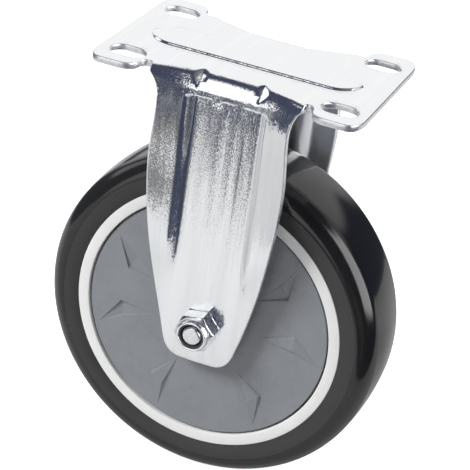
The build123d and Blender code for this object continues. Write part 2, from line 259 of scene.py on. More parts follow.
@dataclass(frozen=True)
class ZincSheet:
    """Bright zinc plating on drawn sheet: satin, with faint streaks and a crystalline speckle."""

    name: str = "zinc_sheet"
    light: Colour = (0.89, 0.90, 0.905)
    dark: Colour = (0.80, 0.82, 0.84)
    roughness: Point = (0.10, 0.16)
    streaks: Texture = Texture(900.0, 4.0, 0.6, (1.0, 0.035, 0.0))
    bands: Texture = Texture(210.0, 3.0, 0.5, (1.0, 0.07, 0.0))
    speckle: Texture = Texture(1700.0, 1.0, 0.5, (1.0, 1.0, 0.3))
    rolled: Texture = Texture(330.0, 1.0, 0.5, (1.0, 0.05, 0.0))
    crystals: Texture = Texture(2500.0, 1.0)
    tone_weights: Point = (0.35, 0.65)
    tone_span: Point = (0.32, 0.62)
    rough_weights: Point = (0.6, 0.4)
    rough_span: Point = (0.35, 0.65)
    fine_weights: Point = (0.04, 0.05)
    relief_depth: float = 0.00026
    relief_share: float = 1.0
    drawn_z: Point = (-0.012, -0.003)
    drawn_share: Point = (0.8, 0.25)
    plate_tone: float = 0.95
    rolled_tilt: float = 0.125
    crystal_tilt: float = 0.24

    def build(self) -> bpy.types.Material:
        """Builds the material, with strong streaks on the drawn legs.

        Returns:
            The finished material.
        """
        shader = Shader(self.name)
        place = shader.add("SeparateXYZ", {0: shader.place}).outputs
        along = shader.maths("SUBTRACT", shader.maths("ABSOLUTE", place["Y"]), place["Z"])
        blank = shader.add("CombineXYZ", {"X": place["X"], "Y": along, "Z": place["Y"]}).outputs[0]
        streaks, bands, speckle = (
            shader.noise(blank, texture) for texture in (self.streaks, self.bands, self.speckle)
        )
        drawn = shader.ranged(place["Z"], self.drawn_z, self.drawn_share)
        tone = shader.ranged(shader.mixed(streaks, bands, self.tone_weights), self.tone_span)
        tone = shader.maths("MAXIMUM", tone, shader.maths("SUBTRACT", self.plate_tone, drawn))
        rough = shader.mixed(bands, speckle, self.rough_weights)
        fine = shader.mixed(speckle, streaks, self.fine_weights)
        height = shader.maths("ADD", fine, shader.maths("MULTIPLY", bands, drawn))
        normal = shader.add("NewGeometry", {}).outputs["Normal"]
        tilt = shader.maths("MULTIPLY", drawn, self.rolled_tilt)
        normal = shader.grains(blank, self.rolled, tilt, normal)
        normal = shader.grains(shader.place, self.crystals, self.crystal_tilt, normal)
        inputs = {
            "Height": height, "Distance": self.relief_depth, "Strength": self.relief_share,
            "Normal": normal,
        }
        return shader.dress(
            Base_Color=shader.blend(tone, self.dark, self.light),
            Roughness=shader.ranged(rough, self.rough_span, self.roughness),
            Normal=shader.add("Bump", inputs).outputs[0],
            Metallic=1.0,
        )


@dataclass(frozen=True)
class TurnedMetal:
    """Plated or ground steel with fine marks that run round the axle."""

    name: str
    colour: Colour
    roughness: float
    mark_depth: float = 0.00002
    marks: Texture = Texture(1500.0, 3.0, 0.6, (0.5, 3.0, 0.5))
    patches: Texture = Texture(260.0)
    patch_span: Point = (0.35, 0.65)
    mark_span: Point = (0.3, 0.7)
    dullness: float = 0.84
    rough_range: Point = (0.75, 1.3)
    relief_share: float = 0.6

    def build(self) -> bpy.types.Material:
        """Builds the material.

        Returns:
            The finished material.
        """
        shader = Shader(self.name)
        fine = shader.noise(shader.place, self.marks)
        patches = shader.ranged(shader.noise(shader.place, self.patches), self.patch_span)
        dull = tuple(c * self.dullness for c in self.colour)
        rough = tuple(self.roughness * share for share in self.rough_range)
        return shader.dress(
            Base_Color=shader.blend(patches, dull, self.colour),
            Roughness=shader.ranged(fine, self.mark_span, rough),
            Normal=shader.relief(fine, self.mark_depth, self.relief_share),
            Metallic=1.0,
        )


@dataclass(frozen=True)
class Moulding:
    """Moulded plastic or rubber with a fine grain and faint flow marks."""

    name: str
    colour: Colour
    roughness: float
    grain_depth: float = 0.00003
    grain_scale: float = 2200.0
    variation: float = 0.06
    flow: Texture = Texture(90.0, 4.0, 0.55, (1.0, 0.4, 1.0))
    flow_span: Point = (0.3, 0.7)
    rough_weights: Point = (0.6, 0.4)
    rough_span: Point = (0.35, 0.65)
    rough_range: Point = (0.85, 1.15)
    relief_share: float = 0.6

    def build(self) -> bpy.types.Material:
        """Builds the material.

        Returns:
            The finished material.
        """
        shader = Shader(self.name)
        grain = shader.noise(shader.place, Texture(self.grain_scale, 3.0, 0.6))
        flow = shader.noise(shader.place, self.flow)
        low = tuple(c * (1 - self.variation) for c in self.colour)
        high = tuple(min(1.0, c * (1 + self.variation)) for c in self.colour)
        rough = tuple(self.roughness * share for share in self.rough_range)
        mixed = shader.mixed(flow, grain, self.rough_weights)
        return shader.dress(
            Base_Color=shader.blend(shader.ranged(flow, self.flow_span), low, high),
            Roughness=shader.ranged(mixed, self.rough_span, rough),
            Normal=shader.relief(grain, self.grain_depth, self.relief_share),
        )


Finish = ZincSheet | TurnedMetal | Moulding


@dataclass(frozen=True)
class Finishes:
    """Every finish of the castor."""

    sheet: ZincSheet = ZincSheet()
    cut: ZincSheet = ZincSheet(
        "zinc_cut_edge", (0.95, 0.955, 0.96), (0.82, 0.84, 0.86), (0.30, 0.42)
    )
    nut: TurnedMetal = TurnedMetal("zinc_nut", (0.88, 0.89, 0.90), 0.25)
    bolt: TurnedMetal = TurnedMetal("zinc_bolt", (0.80, 0.81, 0.83), 0.26, 0.00005)
    bush: TurnedMetal = TurnedMetal("turned_bush", (0.62, 0.63, 0.65), 0.30, 0.00004)
    ring: TurnedMetal = TurnedMetal("ground_ring", (0.70, 0.71, 0.73), 0.16)
    shield: TurnedMetal = TurnedMetal("pressed_shield", (0.66, 0.67, 0.69), 0.28)
    ball: TurnedMetal = TurnedMetal("polished_ball", (0.80, 0.81, 0.83), 0.06, 0.00001)
    insert: Moulding = Moulding("nylon_insert", (0.035, 0.036, 0.04), 0.45)
    cage: Moulding = Moulding("natural_nylon", (0.80, 0.74, 0.55), 0.42)
    tyre_side: Moulding = Moulding(
        "tyre_side", (0.030, 0.029, 0.029), 0.50, 0.00006, 1800.0, 0.10
    )
    tyre_tread: Moulding = Moulding(
        "tyre_tread", (0.014, 0.014, 0.014), 0.12, 0.000005, 900.0, 0.10
    )
    core: Moulding = Moulding("white_core", (0.75, 0.75, 0.74), 0.34, 0.00002, 1500.0, 0.02)
    cover: Moulding = Moulding("grey_cover", (0.215, 0.225, 0.245), 0.30, 0.00003, 2600.0, 0.04)
    made: dict[str, bpy.types.Material] = field(default_factory=dict)

    def dress(self, obj: bpy.types.Object, *finishes: Finish) -> None:
        """Gives an object its materials, one slot each.

        Args:
            obj: The object.
            finishes: The finishes, in the order of the mesh's material indices.
        """
        if obj.data.materials:
            obj.data.materials.clear()
        for finish in finishes:
            if finish.name not in self.made:
                self.made[finish.name] = finish.build()
            obj.data.materials.append(self.made[finish.name])


def smooth(t: Array | float) -> Array | float:
    """Runs from 0 to 1 with no slope at either end."""
    t = np.clip(t, 0.0, 1.0)
    return t * t * (3 - 2 * t)


def curve(first: Vector, bend: Vector, last: Vector, steps: int) -> list[Point]:
    """Draws a quadratic curve from first to last, in so many steps, rounding the bend's corner."""
    shares = np.linspace(0, 1, steps + 1)
    return [tuple(first * (1 - t) ** 2 + bend * 2 * t * (1 - t) + last * t * t) for t in shares]


def rounded(
    points: Sequence[Point], radius: float, steps: int = 4, closed: bool = False
) -> list[Point]:
    """Rounds the corners of an outline.

    Args:
        points: The corners.
        radius: How far along each side a corner's arc starts, up to 0.45 of the side.
        steps: The arc's divisions.
        closed: Whether the last point joins the first.

    Returns:
        The rounded outline.
    """
    corners = [Vector(p) for p in points]
    result: list[Point] = []
    for k, corner in enumerate(corners):
        if not closed and k in (0, len(corners) - 1):
            result.append(tuple(corner))
            continue
        arms = (corners[k - 1] - corner, corners[(k + 1) % len(corners)] - corner)
        first, last = (corner + a.normalized() * min(radius, a.length * 0.45) for a in arms)
        result += curve(first, corner, last, steps)
    return result


def on_axle(points: Array, side: Side = Side.FRONT) -> Array:
    """Turns rows of x, y and height about Z onto the axle, with the height towards the side."""
    across, up, out = points.T
    return np.column_stack([across, -side.value * out, up - AXLE_DROP])


def round_steps(count: int) -> Array:
    """Gives the angles of a full turn's steps, in radians."""
    return 2 * math.pi * np.arange(count) / count


def rings(rows: Sequence[tuple[Array | float, Array | float]], angles: Array) -> Array:
    """Stacks rings of points about Z.

    Args:
        rows: Each ring's radius and height, one for the ring or one for each of its points.
        angles: The points' angles in radians.

    Returns:
        Rows of x, y and height.
    """
    cos, sin = np.cos(angles), np.sin(angles)
    return np.vstack([
        np.column_stack(np.broadcast_arrays(radius * cos, radius * sin, height))
        for radius, height in rows
    ])


def strips(rows: int, count: int, closed: bool = False) -> list[tuple[int, ...]]:
    """Lists the faces between neighbouring rings.

    Args:
        rows: How many rings there are.
        count: The points of each.
        closed: Whether the last ring joins the first.

    Returns:
        The faces' corner numbers, ring by ring.
    """
    return [
        (k * count + a, k * count + (a + 1) % count,
         (k + 1) % rows * count + (a + 1) % count, (k + 1) % rows * count + a)
        for k in range(rows if closed else rows - 1) for a in range(count)
    ]


def ring_edges(start: int, count: int) -> list[tuple[int, int]]:
    """Lists the edges of a closed ring of points, numbered from start."""
    return [(start + k, start + (k + 1) % count) for k in range(count)]


class PieceMesh:
    """Collects one piece's points and faces, in millimetres, and makes its object."""

    def __init__(self, name: str) -> None:
        """Starts an empty mesh.

        Args:
            name: The piece's name.
        """
        self.name = name
        self.points: list[Array] = []
        self.faces: list[tuple[int, ...]] = []
        self.slots: list[int] = []

    def add(self, points: Array, faces: Sequence[Sequence[int]], slots: int | Array = 0) -> None:
        """Adds points and the faces between them.

        Args:
            points: Rows of x, y, z.
            faces: Corner numbers within these points.
            slots: The faces' material slot, or one for each.
        """
        start = sum(len(rows) for rows in self.points)
        self.faces += [tuple(int(i) + start for i in face) for face in faces]
        self.slots += np.broadcast_to(slots, len(faces)).tolist()
        self.points.append(np.asarray(points, float))

    def turned(
        self,
        profile: Sequence[Point],
        side: Side = Side.FRONT,
        divisions: int = 160,
        closed: bool = True,
        slots: Sequence[int] | None = None,
    ) -> None:
        """Adds a surface of revolution about the axle.

        Args:
            profile: Radius and height pairs.
            side: The side that the height points to.
            divisions: Steps round the axle.
            closed: Whether the profile's last point joins its first.
            slots: The material slot of each of the profile's strips, if it isn't 0.
        """
        points = on_axle(rings(profile, round_steps(divisions)), side)
        faces = strips(len(profile), divisions, closed)
        self.add(points, faces, np.repeat(slots, divisions) if slots else 0)

    def finish(self, body: Body, node: str, slot: str, sharp: float) -> bpy.types.Object:
        """Makes the object, rides it on its body and hides what it stands for.

        Args:
            body: The CAD body that carries it.
            node: The CAD node that it stands for.
            slot: Not used.
            sharp: Edges that turn by more than this angle, in degrees, stay crisp.

        Returns:
            The object.
        """
        mesh = bpy.data.meshes.new(self.name)
        mesh.from_pydata((np.vstack(self.points) * MM).tolist(), [], self.faces)
        mesh.polygons.foreach_set("material_index", self.slots)
        self.tidy(mesh)
        mesh.shade_smooth()
        mesh.set_sharp_from_angle(angle=math.radians(sharp))
        obj = bpy.data.objects.new(self.name, mesh)
        bpy.context.scene.collection.objects.link(obj)
        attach(obj, body.value)
        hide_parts(node)
        LOG.info("%s: %d faces, rides on %s", self.name, len(mesh.polygons), body.value)
        return obj

    @staticmethod
    def tidy(mesh: bpy.types.Mesh) -> None:
        """Merges doubled points, drops empty faces and turns all faces outwards.

        Args:
            mesh: The mesh, in metres.
        """
        work = bmesh.new()
        work.from_mesh(mesh)
        bmesh.ops.remove_doubles(work, verts=work.verts, dist=1e-6)
        bmesh.ops.dissolve_degenerate(work, edges=work.edges, dist=1e-7)
        bmesh.ops.recalc_face_normals(work, faces=work.faces)
        work.to_mesh(mesh)
        work.free()
        mesh.validate()


def spaced(loop: Array, least: float) -> Array:
    """Thins out a closed loop.

    Args:
        loop: Its points.
        least: The least distance between neighbours.

    Returns:
        The points that stay.
    """
    kept = [loop[0]]
    for point in loop[1:]:
        if np.hypot(*(point - kept[-1])) >= least:
            kept.append(point)
    if np.hypot(*(kept[0] - kept[-1])) < least:
        kept.pop()
    return np.array(kept)


def offset(loop: Array, inwards: float) -> Array:
    """Moves a closed counter-clockwise loop sideways.

    Args:
        loop: Its points.
        inwards: How far it moves inwards; a negative distance moves it outwards.

    Returns:
        The moved points.
    """
    arms = (loop - np.roll(loop, 1, axis=0), np.roll(loop, -1, axis=0) - loop)
    first, second = (arm / np.linalg.norm(arm, axis=1, keepdims=True) for arm in arms)
    normal = np.column_stack([-(first + second)[:, 1], (first + second)[:, 0]])
    normal = normal / np.linalg.norm(normal, axis=1, keepdims=True)
    lean = np.sum(normal * np.column_stack([-first[:, 1], first[:, 0]]), axis=1)
    return loop + normal * (inwards / np.clip(lean, 0.5, None))[:, None]


def enclosed(points: Array, loop: Array) -> Array:
    """Tells which points lie inside a closed loop.

    Args:
        points: The points.
        loop: The loop's points.

    Returns:
        True or false for each point.
    """
    inside = np.zeros(len(points), bool)
    x, y = points.T
    for a, b in zip(loop, np.roll(loop, -1, axis=0)):
        if a[1] != b[1]:
            reach = (b[0] - a[0]) * (y - a[1]) / (b[1] - a[1]) + a[0]
            inside ^= ((a[1] > y) != (b[1] > y)) & (x < reach)
    return inside


def away_from(points: Array, loop: Array, room: float) -> Array:
    """Tells which points keep a distance from a closed loop's line.

    Args:
        points: The points.
        loop: The loop's points.
        room: The distance; 0 asks for none.

    Returns:
        True or false for each point.
    """
    clear = np.ones(len(points), bool)
    for a, b in zip(loop, np.roll(loop, -1, axis=0)) if room else ():
        run = b - a
        share = np.clip(((points - a) @ run) / (run @ run), 0, 1)
        clear &= np.hypot(*(points - a - share[:, None] * run).T) > room
    return clear


def in_blank(points: Array, loops: Sequence[Array], room: float = 0.0) -> Array:
    """Tells which points lie in a sheet with holes.

    Args:
        points: The points.
        loops: The sheet's outline, then its holes.
        room: The distance that they keep from all edges.

    Returns:
        True or false for each point.
    """
    keep = enclosed(points, loops[0])
    for hole in loops[1:]:
        keep &= ~enclosed(points, hole)
    for loop in loops:
        keep &= away_from(points, loop, room)
    return keep


def past_slot(x: Array, y: Array, size: Point) -> Array:
    """Distance from points to a slot of this length and width round 0, negative inside it."""
    return np.hypot(np.clip(np.abs(x) - (size[0] - size[1]) / 2, 0, None), y) - size[1] / 2


@dataclass
class Fork:
    """The folded sheet: a plate with slots and a bead, and two legs with a recessed panel.

    x runs along the plate, z is a height above the axle and drop a depth below the plate's top.
    """

    finishes: Finishes
    sheet: float = 2.5
    plate_size: Point = (95.0, 67.0)
    corner_reach: float = 8.8
    lobe_x: float = 30.4
    lobe_lean: float = 0.3
    lobe_reach: Point = (6.0, 1.8)
    neck_y: float = 26.0
    notch: tuple[Point, ...] = ((30.15, 27.0), (29.6, 26.35), (28.7, 26.0), (27.4, 25.95))
    bolt_spacing: Point = (75.0, 45.0)
    slot_size: Point = (12.6, 8.5)
    rim: Triple = (1.1, 0.45, 0.2)
    rim_edge: Point = (0.4, 0.2)
    bead_size: Point = (77.0, 20.0)
    bead_height: float = 0.9
    bead_wall: Point = (1.1, 5.5)
    bend_r: float = 6.5
    bend_edge_r: float = 3.6
    bend_out_mid: float = 24.5
    bend_bow: float = 4.4
    bow_x: float = 27.0
    bow_power: float = 2.3
    dart_x: float = 10.5
    dart_start: float = 19.7
    dart_slope: float = 0.6
    dart_soft: float = 0.09
    dart_fade: Point = (1.6, 0.8)
    leg_out: float = 21.2
    leg_bottom: float = 14.5
    leg_bottom_reach: float = 7.31
    half_at_axle: float = 15.5
    half_max: float = 24.4
    widest: float = 62.0
    side_power: float = 1.75
    top_pinch: float = 1.1
    top_flare: float = 4.0
    flare_start: float = 82.0
    flare_length: float = 11.0
    flare_power: float = 2.5
    panel_half: float = 11.4
    panel_bevel: float = 4.0
    panel_depth: float = 2.9
    fade: Point = (14.0, 33.0)
    crease: Point = (8.2, 1.3)
    dip: float = 0.09
    dip_reach: Point = (6.0, 2.5)
    flush_start: float = 12.0
    flush_length: float = 30.0
    swell_out: float = 1.1
    swell_x: Point = (11.0, 13.0)
    swell_drop: Point = (1.5, 11.5)
    flange_out: float = 6.0
    flange_start: float = 12.0
    flange_power: float = 1.5
    rise_power: float = 1.4
    hole_r: float = 4.1
    edge_round: float = 0.45
    edge_turns: tuple[float, ...] = (0.0, 0.29, 0.71, 1.0)
    ball_shares: tuple[float, ...] = (0.25, 0.5, 0.7, 0.85, 0.95)
    ball_step: float = 30.0
    hole_step: float = 7.5
    corner_steps: int = 14
    neck_steps: int = 11
    side_drops: tuple[tuple[float, float, int], ...] = ((0.35, 12, 20), (13, AXLE_DROP, 56))
    least_step: float = 0.25
    grid_x: tuple[Triple, ...] = ((0.45, 9.2, 0.9), (10.6, 16.3, 0.4), (17.2, 47.6, 0.9))
    grid_s: tuple[Triple, ...] = ((0.5, 16.6, 0.8), (17.0, 34.0, 0.42), (34.8, 130.0, 1.25))
    grid_room: float = 0.22
    bead_band: Point = (-1.4, 0.35)
    bead_rings: tuple[float, ...] = (0.0, 0.22, 0.44, 0.66, 0.88, 1.1)
    bead_steps: Point = (5.0, 0.8)
    rim_rings: tuple[float, ...] = (0.25, 0.5, 0.8, 1.1, 1.22, 1.34, 1.46, 1.6)

    def half_width(self, z: Array) -> Array:
        """Gives half the leg's width.

        Args:
            z: Heights above the axle.

        Returns:
            The half width at each.
        """
        share = np.clip(1 - z / self.widest, 0, None) ** self.side_power
        low = self.half_max - (self.half_max - self.half_at_axle) * share
        pinch = self.top_pinch * smooth((z - self.widest) / (self.flare_start - self.widest))
        flare = np.clip((z - self.flare_start) / self.flare_length, 0, None) ** self.flare_power
        return np.where(z < self.widest, low, self.half_max - pinch + self.top_flare * flare)

    def bend_out(self, x: Array) -> Array:
        """Distance from the mid plane to the outer face just under the bend."""
        return self.bend_out_mid + self.bend_bow * np.abs(x / self.bow_x) ** self.bow_power

    def bend_radius(self, x: Array) -> Array:
        """Outer radius of the bend."""
        return self.bend_r - (self.bend_r - self.bend_edge_r) * (x / self.bow_x) ** 2

    def beside(self, x: Array) -> Array:
        """Runs from 0 on the panel to 1 on the flanges."""
        return smooth((np.abs(x) - self.panel_half) / self.panel_bevel)

    def flush(self, drop: Array) -> Array:
        """Runs from 0 at the bend to 1 where the flanges have their own shape."""
        return smooth((drop - self.flush_start) / self.flush_length)

    def leg_face(self, x: Array, z: Array) -> Array:
        """Gives the leg's outer face below the bend.

        Args:
            x: Places along the plate.
            z: Heights above the axle.

        Returns:
            The distances from the mid plane.
        """
        depth = self.panel_depth * smooth((z - self.fade[0]) / (self.fade[1] - self.fade[0]))
        rise = np.sin(QUARTER * np.clip(z / self.widest, 0, 1)) ** self.rise_power
        room = self.half_width(np.minimum(z, self.widest)) - self.flange_start
        lean = np.clip((np.abs(x) - self.flange_start) / room, 0, None) ** self.flange_power
        return self.leg_out + depth * self.beside(x) + (self.flange_out * rise - depth) * lean

    def swell(self, x: Array, drop: Array) -> Array:
        """Gives the swell beside the panel, where the bend runs out into the flange.

        Args:
            x: Places along the plate.
            drop: Depths below the plate's top.

        Returns:
            How far the sheet swells out.
        """
        beside = smooth((np.abs(x) - self.swell_x[0]) / self.swell_x[1])
        out = smooth((drop - self.swell_drop[0]) / self.swell_drop[1])
        return self.swell_out * beside * out * (1 - self.flush(drop))

    def outer_face(self, x: Array, drop: Array) -> Array:
        """Gives the sheet's outer face from the bend down, with the crease over the panel.

        Args:
            x: Places along the plate.
            drop: Depths below the plate's top.

        Returns:
            The distances from the mid plane.
        """
        beside = self.beside(x)
        crease = smooth((drop - self.crease[0]) / self.crease[1])
        below = crease + (self.flush(drop) - crease) * beside
        reach = self.dip_reach[0] + self.dip_reach[1] * x / self.panel_half
        fade = 1 - smooth((drop - sum(self.crease)) / reach)
        dip = self.dip * crease * fade * (1 - beside)
        bend = self.bend_out(x)
        return bend + (self.leg_face(x, AXLE_DROP - drop) - bend) * below - dip

    def inner_face(self, x: Array, drop: Array) -> Array:
        """Rolls a ball of the sheet's thickness over the outer face.

        Args:
            x: Places along the plate.
            drop: Depths below the plate's top.

        Returns:
            The inner face's distances from the mid plane.
        """
        reach = self.outer_face(x, drop) - self.sheet
        for share in self.ball_shares:
            across, inwards = self.sheet * share, self.sheet * math.sqrt(1 - share * share)
            for angle in np.radians(np.arange(0, 360, self.ball_step)):
                px = x + across * math.cos(angle)
                pd = np.maximum(drop + across * math.sin(angle), self.bend_r)
                reach = np.minimum(reach, self.outer_face(px, pd) - inwards)
        return reach

    def bead_rise(self, x: Array, y: Array) -> Array:
        """How far the bead lifts the plate; its wall is steep to the front, soft to the back."""
        wall = np.where(y > 0, *self.bead_wall)
        return self.bead_height * smooth(-past_slot(x, y, self.bead_size) / wall)

    def rim_drop(self, x: Array, y: Array) -> Array:
        """Gives the fall of the slots' pressed rims.

        Args:
            x: Places along the plate.
            y: Places across it.

        Returns:
            How far the plate falls.
        """
        dx = np.abs(x) - self.bolt_spacing[0] / 2
        beyond = past_slot(dx, np.abs(y) - self.bolt_spacing[1] / 2, self.slot_size)
        flat, step, depth = self.rim
        width, fall = self.rim_edge
        return depth * (1 - smooth((beyond - flat) / step)) + fall * (1 - smooth(beyond / width))

    def dart_sink(self, x: Array, out: Array, z: Array) -> Array:
        """Gives the depth of the darts along the bend's diagonal.

        Args:
            x: Places along the plate.
            out: Distances from the mid plane.
            z: Heights over the plate's top.

        Returns:
            How deep they press a point in.
        """
        above = ((out - self.dart_start) + z) * SLANT
        over = above - self.dart_slope * np.abs(np.abs(x) - self.dart_x)
        fade = smooth((over + self.dart_fade[0]) / self.dart_fade[1])
        return 0.5 * (over + np.sqrt(over * over + self.dart_soft)) * fade

    def fold(self, x: Array, s: Array, depth: float) -> Array:
        """Folds points of the flat blank into the fork's shape.

        Args:
            x: Places along the plate.
            s: Distances from the mid line along the sheet; negative is the back half.
            depth: 0 gives the outer face, 1 the inner one, and between them the cut edge.

        Returns:
            The folded points, in millimetres.
        """
        side, run = np.sign(s), np.abs(s)
        inside = np.abs(x) <= self.bow_x
        bow = np.clip(x, -self.bow_x, self.bow_x)
        radius = self.bend_radius(bow)
        start = self.bend_out(bow) - radius
        angle = np.where(inside, np.clip((run - start) / radius, 0, QUARTER), 0)
        leg = run - start - radius * QUARTER
        drop = np.where(inside, np.clip(leg, 0, None) + radius, 0)
        level = depth * self.sheet
        out = np.where(inside, np.minimum(run, start), run) + (radius - level) * np.sin(angle)
        z = -level - (radius - level) * (1 - np.cos(angle))
        face = self.outer_face(x, drop)
        if depth:
            face = face + (self.inner_face(x, drop) - face) * depth
        on_leg = inside & (leg > 0)
        out = np.where(on_leg, face, out)
        z = np.where(on_leg, -drop, z)
        out = out + np.where(inside, self.swell(x, -z - level * np.cos(angle)), 0)
        pressed = self.bead_rise(x, out * side) - self.rim_drop(x, out) * (1 - depth)
        z = z + np.where((angle == 0) & ~on_leg, pressed, 0)
        sink = self.dart_sink(x, out, z) * SLANT
        return np.column_stack([x, side * (sink - out), z - sink])

    def blank_run(self, x: Array | float, drop: Array | float) -> Array:
        """Gives the distance along the sheet to points of the bend or leg.

        Args:
            x: Places along the plate.
            drop: Depths below the plate's top.

        Returns:
            The distances from the sheet's mid line.
        """
        radius = self.bend_radius(x)
        start = self.bend_out(x) - radius
        on_bend = start + radius * np.arccos(np.clip(1 - drop / radius, -1, 1))
        return np.where(drop < radius, on_bend, start + radius * (QUARTER - 1) + drop)

    def leg_side(self) -> list[Point]:
        """Draws the blank from the neck down a leg's side to the middle of its foot.

        Returns:
            Points of x and distance along the sheet.
        """
        drops = np.concatenate([np.linspace(*run) for run in self.side_drops])
        side = np.minimum(self.half_width(AXLE_DROP - drops), self.bow_x)
        points = list(zip(side.tolist(), self.blank_run(side, drops).tolist()))
        at_axle, over_axle = self.half_width(np.array([0.0, 1.0]))
        foot_x = self.half_at_axle - (over_axle - at_axle) * self.leg_bottom
        foot_s = float(self.blank_run(0.0, AXLE_DROP + self.leg_bottom))
        corners = [(self.half_at_axle, points[-1][1]), (foot_x, foot_s), (0.0, foot_s)]
        return points + rounded(corners, self.leg_bottom_reach, self.corner_steps)[1:]

    def lobe_side(self) -> list[Point]:
        """Draws the blank from the middle of the plate's end to the neck of a leg.

        Returns:
            Points of x and distance along the sheet.
        """
        half_l, half_w = self.plate_size[0] / 2, self.plate_size[1] / 2
        top = (self.lobe_x + self.lobe_reach[0], half_w)
        corner = rounded(
            [(half_l, 0.0), (half_l, half_w), top], self.corner_reach, self.corner_steps
        )
        bend = Vector((self.lobe_x + self.lobe_lean, half_w))
        neck = Vector((self.lobe_x, self.neck_y + self.lobe_reach[1]))
        return corner + curve(Vector(top), bend, neck, self.neck_steps)[1:] + list(self.notch)

    def outline(self) -> Array:
        """Draws the whole blank.

        Returns:
            Its outline, counter-clockwise, as rows of x and distance along the sheet.
        """
        right = np.array(self.lobe_side() + self.leg_side())
        left = right[::-1] * (-1, 1)
        quarters = [right, left[1:], -right[1:], -left[1:-1]]
        return spaced(np.vstack(quarters), self.least_step)

    def hole(self, x: float, s: float, width: float, length: float, turn: float) -> Array:
        """Draws a round or long hole.

        Args:
            x: Its centre along the plate.
            s: Its centre along the sheet.
            width: Its width.
            length: Its length along x.
            turn: The angle of its first point, in degrees.

        Returns:
            Its points, counter-clockwise.
        """
        angles = np.radians(np.arange(0, 360, self.hole_step) + turn)
        shift = np.where(np.cos(angles) > 0, 1, -1) * (length - width) / 2
        across, along = width / 2 * np.cos(angles), width / 2 * np.sin(angles)
        return np.column_stack([x + shift + across, s + along])

    def holes(self) -> list[Array]:
        """Draws the blank's holes.

        Returns:
            The four slots, then the two axle holes.
        """
        length, width = self.slot_size
        x, s = (spacing / 2 for spacing in self.bolt_spacing)
        centres = [(sx * x, sy * s) for sx in (-1, 1) for sy in (-1, 1)]
        slots = [self.hole(*centre, width, length, self.hole_step / 2) for centre in centres]
        axle, bore = float(self.blank_run(0.0, AXLE_DROP)), 2 * self.hole_r
        return slots + [self.hole(0.0, sy * axle, bore, bore, 0.0) for sy in (-1, 1)]

    def grid(self) -> Array:
        """Lays out points over the blank, close together where it bends, creases or steps.

        Returns:
            The points as rows of x and distance along the sheet.
        """
        axes = (self.grid_x, self.grid_s)
        halves = [np.concatenate([np.arange(*steps) for steps in runs]) for runs in axes]
        mesh = np.meshgrid(*(np.concatenate([-half[::-1], half]) for half in halves))
        plain = np.column_stack([part.ravel() for part in mesh])
        beyond = past_slot(plain[:, 0], plain[:, 1], self.bead_size)
        points = [plain[(beyond < self.bead_band[0]) | (beyond > self.bead_band[1])]]
        middle, half_w = (self.bead_size[0] - self.bead_size[1]) / 2, self.bead_size[1] / 2
        angles = np.radians(np.arange(-90, 91, self.bead_steps[0]))
        run = np.arange(-middle + self.bead_steps[1], middle, self.bead_steps[1])
        for inset in self.bead_rings:
            reach = half_w - inset
            arc = np.column_stack([middle + reach * np.cos(angles), reach * np.sin(angles)])
            line = np.column_stack([run, np.full(len(run), reach)])
            points += [arc, arc * (-1, 1), line, line * (1, -1)]
        points += [offset(slot, -grow) for slot in self.holes()[:4] for grow in self.rim_rings]
        return np.vstack(points)

    def build(self) -> None:
        """Makes the sheet: the blank's two faces, folded, and the rounded edges between them."""
        mesh = PieceMesh("fork_sheet")
        loops = [self.outline(), *self.holes()]
        inset = [offset(loops[0], self.edge_round)]
        inset += [offset(loop, -self.edge_round) for loop in loops[1:]]
        points = self.grid()
        points = np.vstack([*inset, points[in_blank(points, inset, self.grid_room)]])
        edges: list[tuple[int, int]] = []
        for loop in inset:
            edges += ring_edges(len(edges), len(loop))
        verts, _, faces, *_ = delaunay_2d_cdt([Vector(p) for p in points], edges, [], 0, 1e-4)
        flat = np.array([tuple(v) for v in verts])
        solid = in_blank(np.array([flat[list(f)].mean(axis=0) for f in faces]), inset)
        faces = [face for face, good in zip(faces, solid) if good]
        for slot, depth in enumerate((0.0, 1.0)):
            mesh.add(self.fold(*flat.T, depth), faces, slot)
        share = self.edge_round / self.sheet
        turns = [turn * QUARTER for turn in self.edge_turns]
        steps = [(0.0, turn) for turn in turns] + [(1.0, turn) for turn in reversed(turns)]
        for loop, near in zip(loops, inset):
            rows = []
            for face, turn in steps:
                ring = loop + (near - loop) * (1 - math.sin(turn))
                rows.append(self.fold(*ring.T, abs(face - share * (1 - math.cos(turn)))))
            mesh.add(np.vstack(rows), strips(len(rows), len(loop)), 1)
        obj = mesh.finish(Body.FORK, "fork_bracket", "zinc_sheet", 50.0)
        self.finishes.dress(obj, self.finishes.sheet, self.finishes.cut)


